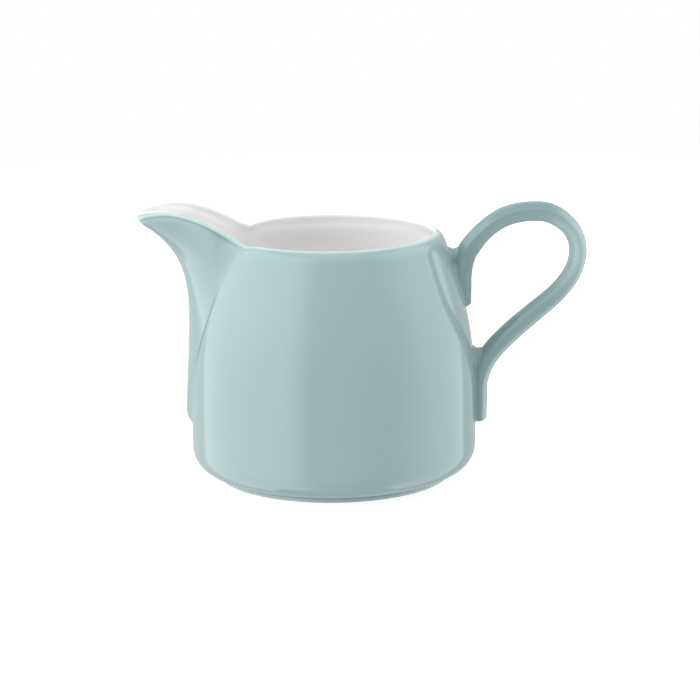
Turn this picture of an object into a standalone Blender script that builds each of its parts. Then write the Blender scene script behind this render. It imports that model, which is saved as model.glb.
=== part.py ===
"""A porcelain cream jug: turned body, foot ring, beak spout, strap handle and the slip that joins them.

The jug stands on Z = 0. The handle points to +X and the spout to -X, and the jug is a mirror image
of itself across the XZ plane. The world origin is on the table, midway between the spout's tip and
the handle's back. Lengths are metres. Heights are above the table, and radii and distances out are
from the body's own axis, which an empty carries.
"""

import math

import bmesh
import bpy
from mathutils import Vector

for leftover in list(bpy.data.objects):
    bpy.data.objects.remove(leftover, do_unlink=True)

# ---------------------------------------------------------------- driving dimensions

GAP = 0.0003  # clearance between pieces that touch

# body
RIM_HEIGHT = 0.0734
RIM_RADIUS = 0.0312  # to the crest of the rim
SHOULDER_RADIUS = 0.0340  # outside, where the wall starts to round over to the rim
SHOULDER_DROP = 0.0037  # from the rim down to the shoulder
SHOULDER_LEAN = 0.32  # how far the wall leans in there for each metre of height
BELLY_RADIUS = 0.0425
BELLY_TOP = 0.0140  # the wall starts to lean in above this height
BELLY_BOTTOM = 0.0095  # and turns in to the foot below this one
WALL_RISE = 0.0298  # how long the wall keeps the belly's upright line
WALL_LEAN = 0.0219  # how long it keeps the shoulder's lean
WALL_THICKNESS = 0.0030
FLOOR_THICKNESS = 0.0036
FLOOR_CORNER = 0.0090  # fillet between the floor and the wall inside

# foot ring
FOOT_RADIUS = 0.0350
FOOT_HEIGHT = 0.0018
FOOT_WIDTH = 0.0036
FOOT_EDGE = 0.0005  # bevel of the ring's lower edges

# spout
PROW_STAND = 0.0006  # how far the tongue's front stands outside the belly
PROW_TOP = 0.0500  # the front is upright up to this height, and flares out to the tip above it
SPOUT_REACH = 0.0148  # from the belly out to the tip
TIP_RISE = 0.0047  # the tip above the rim
CREST_RISE = 0.0080  # the highest point of the beak's edge above the rim
SPOUT_HALF_WIDTH = 0.0171  # at the crease with the wall
SPOUT_THICKNESS = 0.0026
SPOUT_FOOT = 0.0168  # height of the tongue's lower end
TOE_HALF_WIDTH = 0.0022
TOE_HEIGHT = 0.0030  # the toe rounds up to the tongue's front over this height
TROUGH_BOTTOM = 0.0520  # lowest point of the open trough

# slip in the creases beside the spout
SEAM_BOTTOM = 0.0530  # where it runs out
SEAM_RADIUS = 0.0015
SEAM_RADIUS_LOW = 0.0008

# handle
HANDLE_REACH = 0.0330  # from the belly out to the back of the loop
HANDLE_RISE = 0.0084  # from the rim up to the top of the loop
STRAP_THICKNESS = 0.0054
STRAP_WIDTH = 0.0082
UPPER_TONGUE_DROP = 0.0222  # from the rim down to the upper tongue's end
UPPER_BEND_DROP = 0.0092  # from the rim down to where the strap leaves the upper tongue
UPPER_STAND = 0.0018  # how far the upper tongue's end stands outside the wall
LOWER_TONGUE_END = 0.0166
LOWER_BEND = 0.0270  # where the strap leaves the lower tongue
LOWER_STAND = 0.0032  # how far the lower tongue stands outside the belly

# slip in the handle's crotches
UPPER_SADDLE_DROP = 0.0057  # from the rim down to the top of the upper fillet
LOWER_SADDLE = 0.0370  # height of the top of the lower fillet
JOINT_RADIUS = 0.0026
JOINT_HALF_WIDTH = 0.0031
JOINT_STAND = 0.0012  # how far the middle of a fillet stands outside the wall

# shape of the curves: shares of the lengths above
ROUND = 0.55  # handle length that makes a cubic curve a quarter circle
BASE_DROP = 0.60  # how far the belly's upright line runs on down into the turn to the foot
BASE_SWEEP = 0.57  # how far the underside's line runs out towards the belly
BASE_LIFT = 0.10  # and how far it rises on the way, as a share of that drop
PROW_FLARE = 0.55  # how far the prow's upright line runs on up into the beak
BEAK_SWEEP = 0.65  # how far the tip's line runs back towards the prow
BEAK_DIP = 0.24  # and how far it drops there
CREASE_BEND = 0.30  # how gently the spout's width grows out of the toe and into the full width
CREASE_FLARE = 0.20  # share of the growth in width over the first of these bends
NOSE_WIDTH = 0.35  # least width of a section's nose, as a share of its half width
STEEPEST = 88  # degrees from the spout's direction that a flank may face at the wall
TONGUE_FULLNESS = 0.92  # roundness of a section low down: 1 is bulging and 0 is a straight wedge
LIP_FULLNESS = 0.30  # roundness of the beak's edge
CREST_LEAN = 1.1  # above 1 the crest of the beak's edge lies nearer to the tip
HORN_DEPTH = 0.60  # how far inside the rim the beak's solid starts, in half widths
TROUGH_START = 0.25  # width of the trough at its bottom, as a share of the full width
TROUGH_OPENING = 1.60  # how quickly it opens to the full width
TONGUE_TAPER = 0.86  # thickness of the strap at the tongues' ends
ROOT_SWELL = 1.12  # and where it leaves the upper tongue
LOWER_SWELL = 1.10  # and where it meets the lower tongue

# mesh fineness
WELD = 0.00001  # points closer than this are one
TURN_STEPS = 64
SIDE_STEPS = 12
CURVE_STEPS = 6
SECTION_STEPS = 12
STRAP_SIDES = 18
SEAM_SIDES = 12
SEAM_STEPS = 6


# ---------------------------------------------------------------- curves and outlines


def bezier(a, b, c, d, steps=CURVE_STEPS):
    """Points of a cubic curve from a to d, both ends included."""
    points = []
    for i in range(steps + 1):
        t = i / steps
        s = 1.0 - t
        weights = (s**3, 3 * s * s * t, 3 * s * t * t, t**3)
        points.append(tuple(sum(w * p[k] for w, p in zip(weights, (a, b, c, d))) for k in (0, 1)))
    return points


def joined(*runs):
    """Several runs of points as one, without the doubled points where they meet."""
    points = list(runs[0])
    for run in runs[1:]:
        points.extend(run[1:])
    return points


def middle(a, b):
    return (0.5 * (a[0] + b[0]), 0.5 * (a[1] + b[1]))


def reading(points, height):
    """The first coordinate of an outline at a height, which is its second."""
    ordered = sorted(points, key=lambda p: p[1])
    if height <= ordered[0][1]:
        return ordered[0][0]
    for low, high in zip(ordered, ordered[1:]):
        if height <= high[1]:
            share = (height - low[1]) / max(high[1] - low[1], 1e-9)
            return low[0] + share * (high[0] - low[0])
    return ordered[-1][0]


def shoulder_point(grow):
    return (SHOULDER_RADIUS + grow, RIM_HEIGHT - SHOULDER_DROP)


def up_the_lean(point, rise):
    """A point carried up along the shoulder's lean, or down it where rise is negative."""
    return (point[0] - SHOULDER_LEAN * rise, point[1] + rise)


def rim_outline(grow=0.0):
    """From the rim's crest over to the shoulder."""
    crest = (RIM_RADIUS, RIM_HEIGHT + grow)
    shoulder = shoulder_point(grow)
    over = (crest[0] + ROUND * (SHOULDER_RADIUS - RIM_RADIUS), crest[1])
    return bezier(crest, over, up_the_lean(shoulder, ROUND * SHOULDER_DROP), shoulder)


def side_outline(grow=0.0):
    """From the shoulder down the outside of the wall to the belly's bottom."""
    shoulder = shoulder_point(grow)
    belly = (BELLY_RADIUS + grow, BELLY_TOP)
    upright = (belly[0], BELLY_TOP + WALL_RISE)
    leaning = bezier(shoulder, up_the_lean(shoulder, -WALL_LEAN), upright, belly, SIDE_STEPS)
    return joined(leaning, [belly, (belly[0], BELLY_BOTTOM)])


def base_outline(grow=0.0):
    """From the belly's bottom in to the edge of the underside."""
    belly = (BELLY_RADIUS + grow, BELLY_BOTTOM)
    edge = (FOOT_RADIUS + grow, FOOT_HEIGHT)
    down = BASE_DROP * (BELLY_BOTTOM - FOOT_HEIGHT)
    sweep = (edge[0] + BASE_SWEEP * (BELLY_RADIUS - FOOT_RADIUS), edge[1] + BASE_LIFT * down)
    return bezier(belly, (belly[0], belly[1] - down), sweep, edge)


def underside(grow=0.0):
    return [(FOOT_RADIUS + grow, FOOT_HEIGHT), (0.0, FOOT_HEIGHT)]


def inside_outline():
    """From the middle of the floor out, and up the inside of the wall to the rim's crest."""
    floor = FOOT_HEIGHT + FLOOR_THICKNESS
    belly = BELLY_RADIUS - WALL_THICKNESS
    flat = (belly - FLOOR_CORNER, floor)
    wall = (belly, floor + FLOOR_CORNER)
    flat_line = (flat[0] + ROUND * FLOOR_CORNER, floor)
    wall_line = (belly, wall[1] - ROUND * FLOOR_CORNER)
    corner = bezier(flat, flat_line, wall_line, wall)
    shoulder = shoulder_point(-WALL_THICKNESS)
    upright = (belly, BELLY_TOP + WALL_RISE)
    side = bezier(wall, upright, up_the_lean(shoulder, -WALL_LEAN), shoulder, SIDE_STEPS)
    edge = up_the_lean(shoulder, ROUND * SHOULDER_DROP)
    lip = bezier(shoulder, edge, (edge[0], RIM_HEIGHT), (RIM_RADIUS, RIM_HEIGHT))
    return joined([(0.0, floor), flat], corner, side, lip)


OUTSIDE = joined(rim_outline(), side_outline())


def wall_radius(height):
    """Outside radius of the wall at a height."""
    return reading(OUTSIDE, height)


# ---------------------------------------------------------------- objects, materials and modifiers


def collection(name):
    group = bpy.data.collections.new(name)
    bpy.context.scene.collection.children.link(group)
    return group


PARTS = collection("cream_jug")
CUTTERS = collection("cutters")

body_axis = bpy.data.objects.new("body_axis", None)
body_axis.location = (0.5 * (SPOUT_REACH - HANDLE_REACH), 0.0, 0.0)
CUTTERS.objects.link(body_axis)


def material(name, colour, roughness):
    made = bpy.data.materials.new(name)
    made.use_nodes = True
    shader = made.node_tree.nodes["Principled BSDF"]
    shader.inputs["Base Color"].default_value = (*colour, 1.0)
    shader.inputs["Roughness"].default_value = roughness
    shader.inputs["Metallic"].default_value = 0.0
    return made


def add_part(name, mesh, finish):
    """Place a piece's mesh on the body's axis, smooth and with its material."""
    part = bpy.data.objects.new(name, mesh)
    part.parent = body_axis
    PARTS.objects.link(part)
    mesh.materials.append(finish)
    mesh.shade_smooth()
    mesh.set_sharp_from_angle(angle=math.radians(40))
    return part


def add_cutter(name, mesh):
    cutter = bpy.data.objects.new(name, mesh)
    cutter.parent = body_axis
    cutter.hide_render = True
    cutter.display_type = "WIRE"
    CUTTERS.objects.link(cutter)
    return cutter


def turn(target):
    """Turn an open outline about the body's axis."""
    screw = target.modifiers.new("turn", "SCREW")
    screw.axis = "Z"
    screw.steps = TURN_STEPS
    screw.render_steps = TURN_STEPS
    screw.use_merge_vertices = True
    screw.merge_threshold = WELD
    screw.use_smooth_shade = True
    return target


def cut(target, *cutters):
    for cutter in cutters:
        boolean = target.modifiers.new("less_" + cutter.name, "BOOLEAN")
        boolean.operation = "DIFFERENCE"
        boolean.object = cutter
    return target


def outline_mesh(name, points):
    """An outline in the XZ plane, for a Screw modifier to turn."""
    mesh = bpy.data.meshes.new(name)
    edges = [(i, i + 1) for i in range(len(points) - 1)]
    mesh.from_pydata([(out, 0.0, height) for out, height in points], edges, [])
    return mesh


def stacked_mesh(name, levels):
    """Skin a stack of outlines, each an open run of points from one side to its mirror image.

    The skin joins the two ends of each outline straight across, and strips from side to side close
    both ends of the stack.
    """
    mesh = bpy.data.meshes.new(name)
    skin = bmesh.new()
    rows = [[skin.verts.new(point) for point in level] for level in levels]
    count = len(rows[0])
    for low, high in zip(rows, rows[1:]):
        for i in range(count):
            j = (i + 1) % count
            skin.faces.new((low[i], low[j], high[j], high[i]))
    for row in (rows[0], rows[-1]):
        for i in range((count - 1) // 2):
            near, far = row[i], row[i + 1]
            far_mirror, near_mirror = row[count - 2 - i], row[count - 1 - i]
            if far is far_mirror:
                skin.faces.new((near, far, near_mirror))
            else:
                skin.faces.new((near, far, far_mirror, near_mirror))
    bmesh.ops.recalc_face_normals(skin, faces=skin.faces)
    skin.to_mesh(mesh)
    skin.free()
    return mesh


def oval(width, height, sides):
    angles = [math.tau * i / sides for i in range(sides)]
    return [(0.5 * width * math.cos(a), 0.5 * height * math.sin(a)) for a in angles]


def section_object(name, section):
    """A closed outline that a curve object takes as its section."""
    outline = bpy.data.curves.new(name, "CURVE")
    ring = outline.splines.new("POLY")
    ring.points.add(len(section) - 1)
    for point, (across, along) in zip(ring.points, section):
        point.co = (across, along, 0.0, 1.0)
    ring.use_cyclic_u = True
    profile = bpy.data.objects.new(name, outline)
    CUTTERS.objects.link(profile)
    return profile


def swept_mesh(name, path, swells, section):
    """A section swept along a smooth path, scaled by swells, as a mesh with welded caps."""
    profile = section_object(name + "_section", section)
    curve = bpy.data.curves.new(name, "CURVE")
    curve.dimensions = "3D"
    curve.bevel_mode = "OBJECT"
    curve.bevel_object = profile
    curve.use_fill_caps = True
    curve.resolution_u = CURVE_STEPS
    curve.render_resolution_u = CURVE_STEPS
    spline = curve.splines.new("BEZIER")
    spline.bezier_points.add(len(path) - 1)
    for point, place, swell in zip(spline.bezier_points, path, swells):
        point.co = place
        point.radius = swell
        point.handle_left_type = "AUTO"
        point.handle_right_type = "AUTO"
    rail = bpy.data.objects.new(name + "_rail", curve)
    CUTTERS.objects.link(rail)

    bpy.context.view_layer.update()
    evaluated = rail.evaluated_get(bpy.context.evaluated_depsgraph_get())
    mesh = bpy.data.meshes.new_from_object(evaluated)
    welded = bmesh.new()
    welded.from_mesh(mesh)
    bmesh.ops.remove_doubles(welded, verts=welded.verts, dist=WELD)
    bmesh.ops.recalc_face_normals(welded, faces=welded.faces)
    welded.to_mesh(mesh)
    welded.free()
    bpy.data.objects.remove(rail)
    bpy.data.objects.remove(profile)
    return mesh


# ---------------------------------------------------------------- body

AQUA = (0.40, 0.60, 0.60)

body_run = joined(inside_outline(), OUTSIDE, base_outline(), underside())
jug_body = add_part("jug_body", outline_mesh("jug_body", body_run), material("body_glaze", AQUA, 0.12))
turn(jug_body)

lid = [(0.0, RIM_HEIGHT + GAP), (RIM_RADIUS, RIM_HEIGHT + GAP)]
envelope_run = joined(lid, rim_outline(GAP), side_outline(GAP), base_outline(GAP), underside(GAP))
body_envelope = turn(add_cutter("body_envelope", outline_mesh("body_envelope", envelope_run)))

# ---------------------------------------------------------------- foot ring


def foot_outline():
    """The ring's section, with its lower edges bevelled."""
    top = FOOT_HEIGHT - GAP
    inner = FOOT_RADIUS - FOOT_WIDTH
    upper = [(inner, FOOT_EDGE), (inner, top), (FOOT_RADIUS, top), (FOOT_RADIUS, FOOT_EDGE)]
    lower = [(FOOT_RADIUS - FOOT_EDGE, 0.0), (inner + FOOT_EDGE, 0.0), (inner, FOOT_EDGE)]
    return upper + lower


bare_porcelain = material("bare_porcelain", (0.80, 0.79, 0.76), 0.55)
turn(add_part("foot_ring", outline_mesh("foot_ring", foot_outline()), bare_porcelain))

# ---------------------------------------------------------------- spout

TIP = (BELLY_RADIUS + SPOUT_REACH, RIM_HEIGHT + TIP_RISE)
PROW = (BELLY_RADIUS + PROW_STAND, PROW_TOP)
EDGE_ROOT = RIM_HEIGHT - 2 * GAP  # height at which the beak's edge meets the rim


def prow_outline():
    """Distance out and height of the front edge, from the tongue's end up to the tip."""
    toe = (wall_radius(SPOUT_FOOT) - GAP, SPOUT_FOOT)
    instep = (BELLY_RADIUS + 2 * PROW_STAND, SPOUT_FOOT + TOE_HEIGHT)
    ball = (0.5 * (toe[0] + instep[0]), SPOUT_FOOT + TOE_HEIGHT / 3)
    flare = (PROW[0], PROW_TOP + PROW_FLARE * (TIP[1] - PROW_TOP))
    sweep = (TIP[0] - BEAK_SWEEP * (TIP[0] - PROW[0]), TIP[1] - BEAK_DIP * (TIP[1] - PROW_TOP))
    tongue = [toe, ball, instep, middle(instep, PROW), PROW]
    return joined(tongue, bezier(PROW, flare, sweep, TIP, 2 * CURVE_STEPS))


def crease_outline():
    """Half the spout's width on the wall and height, from the tongue's end up to the rim."""
    toe = (TOE_HALF_WIDTH, SPOUT_FOOT)
    full = (SPOUT_HALF_WIDTH, 0.5 * (PROW_TOP + RIM_HEIGHT))
    bend = CREASE_BEND * (full[1] - toe[1])
    widening = (toe[0] + CREASE_FLARE * (full[0] - toe[0]), toe[1] + bend)
    return bezier(toe, widening, (full[0], full[1] - bend), full, SIDE_STEPS)


CREASE = crease_outline()


def crease_out(height, half):
    """How far out the wall is where the spout's half width meets it."""
    return math.sqrt(wall_radius(height) ** 2 - half * half)


def spout_section(front, shrink, narrow=1.0):
    """An outline round the beak, from the wall to the front edge and back to the wall.

    front is a point of the front edge. shrink moves the outline in, and narrow scales its width.
    Low down the outline is level and round. Towards the tip it leans back, straightens to a wedge
    and arches up, so that the last one is the beak's own edge.
    """
    beak = max(0.0, (front[1] - PROW_TOP) / (TIP[1] - PROW_TOP))
    root_height = front[1] - beak * (TIP[1] - EDGE_ROOT)
    half = (reading(CREASE, root_height) - shrink) * narrow
    root = crease_out(root_height, half)
    nose = front[0] - shrink
    depth = max(nose - root, GAP / 3)
    turn_in = min(2 * math.atan2(depth, half), math.radians(STEEPEST))
    corner = max(half - depth / math.tan(turn_in), NOSE_WIDTH * half)
    fullness = TONGUE_FULLNESS + beak * (LIP_FULLNESS - TONGUE_FULLNESS)
    arch = RIM_HEIGHT + CREST_RISE - 0.5 * (EDGE_ROOT + TIP[1])
    points = []
    for i in range(-SECTION_STEPS, SECTION_STEPS + 1):
        t = abs(i) / SECTION_STEPS
        at_nose, at_corner, at_root = (1 - t) ** 2, 2 * t * (1 - t) * fullness, t * t
        total = at_nose + at_corner + at_root
        out = ((at_nose + at_corner) * nose + at_root * root) / total
        side = (at_corner * corner + at_root * half) / total
        across = min(1.0, max(0.0, (out - root) / depth))
        height = root_height + across * (front[1] - root_height)
        height += arch * beak**3 * math.sin(math.pi * across**CREST_LEAN)
        points.append((-out, math.copysign(side, i), height))
    return points


def carried_back(points, out):
    """The outline with its two ends carried back inside the body."""
    first, last = points[0], points[-1]
    return [(-out, first[1], first[2]), *points, (-out, last[1], last[2])]


def horn_mesh(name, shrink):
    """The whole beak as a solid that reaches back inside the body."""
    back = RIM_RADIUS - HORN_DEPTH * SPOUT_HALF_WIDTH
    levels = [carried_back(spout_section(front, shrink), back) for front in prow_outline()]
    return stacked_mesh(name, levels)


def trough_mesh(name):
    """The open channel: it starts narrow in the wall and runs up and out over the tip."""
    levels = []
    for front in prow_outline():
        if front[1] < TROUGH_BOTTOM:
            continue
        opening = (front[1] - TROUGH_BOTTOM) / (RIM_HEIGHT - TROUGH_BOTTOM)
        narrow = min(1.0, TROUGH_START + TROUGH_OPENING * opening)
        section = spout_section(front, SPOUT_THICKNESS, narrow)
        levels.append(carried_back(section, RIM_RADIUS - SPOUT_HALF_WIDTH))
    over_the_jug = RIM_HEIGHT + 4 * CREST_RISE
    levels.append([(x, y, over_the_jug) for x, y, z in levels[-1]])
    return stacked_mesh(name, levels)


spout_trough = add_cutter("spout_trough", trough_mesh("spout_trough"))
spout = add_part("spout", horn_mesh("spout", 0.0), material("spout_glaze", AQUA, 0.12))
cut(spout, spout_trough, body_envelope)
cut(jug_body, spout_trough)

# ---------------------------------------------------------------- slip in the spout's creases

spout_clearance = add_cutter("spout_clearance", horn_mesh("spout_clearance", -GAP))


def spout_seam(name, side):
    """A thread of slip up the crease on one side, which thickens towards the rim."""
    path = []
    swells = []
    top = RIM_HEIGHT - SHOULDER_DROP
    for i in range(SEAM_STEPS + 1):
        share = i / SEAM_STEPS
        height = SEAM_BOTTOM + share * (top - SEAM_BOTTOM)
        half = reading(CREASE, height)
        path.append((-crease_out(height, half), side * half, height))
        swells.append(SEAM_RADIUS_LOW + share * (SEAM_RADIUS - SEAM_RADIUS_LOW))
    mesh = swept_mesh(name, path, swells, oval(2.0, 2.0, SEAM_SIDES))
    seam = add_part(name, mesh, material(name + "_glaze", AQUA, 0.14))
    return cut(seam, body_envelope, spout_clearance)


spout_seam("left_spout_seam", 1)
spout_seam("right_spout_seam", -1)

# ---------------------------------------------------------------- handle


def handle_path():
    """The strap's middle line: up the upper tongue, round the loop and down the lower tongue.

    The loop's points are shares of the way out from a tongue to the loop's back, and of the way
    from the top of the loop down to the bend below.
    """
    half = 0.5 * STRAP_THICKNESS
    top = RIM_HEIGHT + HANDLE_RISE - half
    back = BELLY_RADIUS + HANDLE_REACH - half
    upper_end = RIM_HEIGHT - UPPER_TONGUE_DROP
    upper_bend = RIM_HEIGHT - UPPER_BEND_DROP
    upper = wall_radius(upper_end) + UPPER_STAND - half
    lower = BELLY_RADIUS + LOWER_STAND - half

    def from_upper(out, down):
        return (upper + out * (back - upper), top - down * (top - upper_bend))

    def from_lower(out, down):
        return (lower + out * (back - lower), top - down * (top - LOWER_BEND))

    points = [
        (upper, upper_end), (upper, 0.5 * (upper_end + upper_bend)),
        from_upper(0.01, 1.0), from_upper(0.13, 0.49), from_upper(0.31, 0.17), from_upper(0.58, 0.0),
        from_lower(0.85, 0.06), from_lower(1.0, 0.235), from_lower(0.875, 0.42),
        from_lower(0.63, 0.555), from_lower(0.38, 0.67), from_lower(0.16, 0.80), from_lower(0.03, 0.94),
        (lower, 0.5 * (LOWER_BEND + LOWER_TONGUE_END)), (lower, LOWER_TONGUE_END),
    ]
    return [(out, 0.0, height) for out, height in points]


def handle_mesh(name, grow=0.0):
    path = handle_path()
    loop = [1.0] * (len(path) - 6)
    swells = [TONGUE_TAPER, 1.0, ROOT_SWELL, *loop, LOWER_SWELL, 1.0, TONGUE_TAPER]
    section = oval(STRAP_THICKNESS + 2 * grow, STRAP_WIDTH + 2 * grow, STRAP_SIDES)
    return swept_mesh(name, path, swells, section)


handle = add_part("handle", handle_mesh("handle"), material("handle_glaze", AQUA, 0.12))
cut(handle, body_envelope)

# ---------------------------------------------------------------- slip in the handle's crotches

handle_clearance = add_cutter("handle_clearance", handle_mesh("handle_clearance", GAP))


def handle_joint(name, top):
    """A lens of slip between the strap and the wall that reaches up to a height."""
    height = top - JOINT_RADIUS
    middle_of_lens = Vector((wall_radius(height) + JOINT_STAND, 0.0, height))
    lens = bmesh.new()
    bmesh.ops.create_uvsphere(lens, u_segments=20, v_segments=12, radius=1.0)
    bmesh.ops.scale(lens, vec=(JOINT_RADIUS, JOINT_HALF_WIDTH, JOINT_RADIUS), verts=lens.verts)
    bmesh.ops.translate(lens, vec=middle_of_lens, verts=lens.verts)
    mesh = bpy.data.meshes.new(name)
    lens.to_mesh(mesh)
    lens.free()
    joint = add_part(name, mesh, material(name + "_glaze", AQUA, 0.14))
    return cut(joint, body_envelope, handle_clearance)


handle_joint("upper_handle_joint", RIM_HEIGHT - UPPER_SADDLE_DROP)
handle_joint("lower_handle_joint", LOWER_SADDLE)
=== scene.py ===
import math

import bmesh
import bpy
from mathutils import Matrix, Vector
from mathutils.bvhtree import BVHTree


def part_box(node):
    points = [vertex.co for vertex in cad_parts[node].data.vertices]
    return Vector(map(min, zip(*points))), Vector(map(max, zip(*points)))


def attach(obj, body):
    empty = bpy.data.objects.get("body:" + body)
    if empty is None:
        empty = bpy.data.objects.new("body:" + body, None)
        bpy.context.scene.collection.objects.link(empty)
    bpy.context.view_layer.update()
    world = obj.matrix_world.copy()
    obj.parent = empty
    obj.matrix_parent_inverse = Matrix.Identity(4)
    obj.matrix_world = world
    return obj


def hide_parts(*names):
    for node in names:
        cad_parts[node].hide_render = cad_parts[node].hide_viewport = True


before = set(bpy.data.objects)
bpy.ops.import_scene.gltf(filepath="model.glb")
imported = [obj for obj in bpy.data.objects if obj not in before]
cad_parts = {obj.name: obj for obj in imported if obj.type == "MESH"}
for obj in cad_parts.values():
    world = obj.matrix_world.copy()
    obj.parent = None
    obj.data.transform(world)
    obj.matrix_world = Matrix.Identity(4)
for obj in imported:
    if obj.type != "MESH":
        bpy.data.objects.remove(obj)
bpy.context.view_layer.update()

bodyLow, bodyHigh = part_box("jug_body")
footLow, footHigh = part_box("foot_ring")

axisX = (bodyLow.x + bodyHigh.x) / 2  # the body's own axis
bellyRadius = (bodyHigh.x - bodyLow.x) / 2
footRadius = (footHigh.x - footLow.x) / 2
footTop = bodyLow.z  # the body's underside rests here


def mix(a, b, share):
    return a + (b - a) * share


def smooth(low, high, value):
    share = min(1.0, max(0.0, (value - low) / (high - low)))
    return share * share * (3 - 2 * share)


def cubic(a, b, c, d, t):
    s = 1 - t
    return a * s**3 + b * 3 * s * s * t + c * 3 * s * t * t + d * t**3


def curve(a, b, c, d, steps):
    # points of a cubic from a to d, both ends included
    ends = [Vector(p) for p in (a, b, c, d)]
    return [cubic(*ends, i / steps) for i in range(steps + 1)]


def reading(points, height):
    # first coordinate of an outline at a height, between its own points
    if height <= points[0].y:
        return points[0].x
    for low, high in zip(points, points[1:]):
        if height <= high.y:
            return mix(low.x, high.x, (height - low.y) / (high.y - low.y))
    return points[-1].x


# materials


def newMaterial(name):
    made = bpy.data.materials.new(name)
    made.use_nodes = True
    return made, made.node_tree, made.node_tree.nodes["Principled BSDF"]


def addNode(tree, kind, **settings):
    node = tree.nodes.new(kind)
    for name, value in settings.items():
        setattr(node, name, value)
    return node


glaze = {
    # the pooled colours also serve as painted shade and the thin aqua as painted light, where the depth
    # attribute carries them
    "aqua": (0.250, 0.350, 0.353, 1),
    "aquaThinAndLit": (0.52, 0.66, 0.66, 1),
    "aquaPooledAndShaded": (0.105, 0.185, 0.19, 1),
    "white": (0.93, 0.925, 0.92, 1),
    "whiteThin": (0.93, 0.925, 0.92, 1),
    "whitePooledAndShaded": (0.60, 0.60, 0.61, 1),
    "mottle": 0.10,  # how far soft clouds vary the depth
    "cloudScale": 38,  # clouds a few centimetres across
    "cloudRoughness": 0.03,
    "roughness": 0.03,
    "wave": 0.00004,  # height of the slight waviness of a dipped glaze
    "waveScale": 120,
    "speckScale": 900,  # fine orange peel
    "speckShare": 0.12,
    "ior": 1.50,
}


def makeGlazeGroup():
    # glaze over clay: above 0 the depth darkens the colour towards the pooled colour and below 0 lightens
    # it towards the thin colour; besides soft random clouds this carries painted shade and painted light,
    # and the glaze waves very slightly
    group = bpy.data.node_groups.new("fired glaze", "ShaderNodeTree")
    face = group.interface
    face.new_socket("Colour", in_out="INPUT", socket_type="NodeSocketColor")
    face.new_socket("Thin And Lit Colour", in_out="INPUT", socket_type="NodeSocketColor")
    face.new_socket("Pooled And Shaded Colour", in_out="INPUT", socket_type="NodeSocketColor")
    face.new_socket("Depth", in_out="INPUT", socket_type="NodeSocketFloat")
    face.new_socket("Mottle", in_out="INPUT", socket_type="NodeSocketFloat")
    face.new_socket("Colour", in_out="OUTPUT", socket_type="NodeSocketColor")
    face.new_socket("Roughness", in_out="OUTPUT", socket_type="NodeSocketFloat")
    face.new_socket("Height", in_out="OUTPUT", socket_type="NodeSocketFloat")
    source = addNode(group, "NodeGroupInput")
    target = addNode(group, "NodeGroupOutput")
    place = addNode(group, "ShaderNodeTexCoord")
    link = group.links.new

    def give(value, socket):
        # a socket takes another node's output or a plain value
        if hasattr(value, "links"):
            link(value, socket)
        else:
            socket.default_value = value

    def noise(scale, detail):
        node = addNode(group, "ShaderNodeTexNoise")
        node.inputs["Scale"].default_value = scale
        node.inputs["Detail"].default_value = detail
        link(place.outputs["Object"], node.inputs["Vector"])
        return node.outputs["Fac"]

    def blend(low, high, share):
        node = addNode(group, "ShaderNodeMix", data_type="RGBA")
        for value, index in ((share, 0), (low, 6), (high, 7)):
            give(value, node.inputs[index])
        return node.outputs[2]

    def reckon(a, b, kind="ADD"):
        node = addNode(group, "ShaderNodeMath", operation=kind)
        give(a, node.inputs[0])
        give(b, node.inputs[1])
        return node.outputs[0]

    cloud = noise(glaze["cloudScale"], 3)
    speck = noise(glaze["speckScale"], 2)
    wave = noise(glaze["waveScale"], 2)
    share = reckon(reckon(cloud, 0.5, "SUBTRACT"), source.outputs["Mottle"], "MULTIPLY")
    depth = reckon(source.outputs["Depth"], share)
    pooledAndShaded = blend(source.outputs["Colour"], source.outputs["Pooled And Shaded Colour"], reckon(depth, 0.0, "MAXIMUM"))
    thinAndLitShare = reckon(reckon(depth, -1.0, "MULTIPLY"), 0.0, "MAXIMUM")
    thinAndLit = blend(pooledAndShaded, source.outputs["Thin And Lit Colour"], thinAndLitShare)
    link(thinAndLit, target.inputs["Colour"])
    rough = reckon(reckon(cloud, glaze["cloudRoughness"], "MULTIPLY"), glaze["roughness"])
    link(rough, target.inputs["Roughness"])
    link(reckon(wave, reckon(speck, glaze["speckShare"], "MULTIPLY")), target.inputs["Height"])
    return group


glazeGroup = makeGlazeGroup()


def glazeNode(tree, colour, thinAndLitColour, pooledAndShadedColour):
    group = addNode(tree, "ShaderNodeGroup", node_tree=glazeGroup)
    group.inputs["Colour"].default_value = colour
    group.inputs["Thin And Lit Colour"].default_value = thinAndLitColour
    group.inputs["Pooled And Shaded Colour"].default_value = pooledAndShadedColour
    group.inputs["Mottle"].default_value = glaze["mottle"]
    return group


def makeGlaze(name, *colours):
    made, tree, shader = newMaterial(name)
    group = glazeNode(tree, *colours)
    # the attribute carries painted shade and painted light as well as the glaze's depth
    depth = addNode(tree, "ShaderNodeAttribute", attribute_name="shadeAndGlazeDepth")
    bump = addNode(tree, "ShaderNodeBump")
    bump.inputs["Distance"].default_value = glaze["wave"]
    tree.links.new(depth.outputs["Fac"], group.inputs["Depth"])
    tree.links.new(group.outputs["Colour"], shader.inputs["Base Color"])
    tree.links.new(group.outputs["Roughness"], shader.inputs["Roughness"])
    tree.links.new(group.outputs["Height"], bump.inputs["Height"])
    tree.links.new(bump.outputs["Normal"], shader.inputs["Normal"])
    shader.inputs["IOR"].default_value = glaze["ior"]
    return made


aquaGlaze = makeGlaze("aqua glaze", glaze["aqua"], glaze["aquaThinAndLit"], glaze["aquaPooledAndShaded"])
whiteGlaze = makeGlaze("white glaze", glaze["white"], glaze["whiteThin"], glaze["whitePooledAndShaded"])


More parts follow.
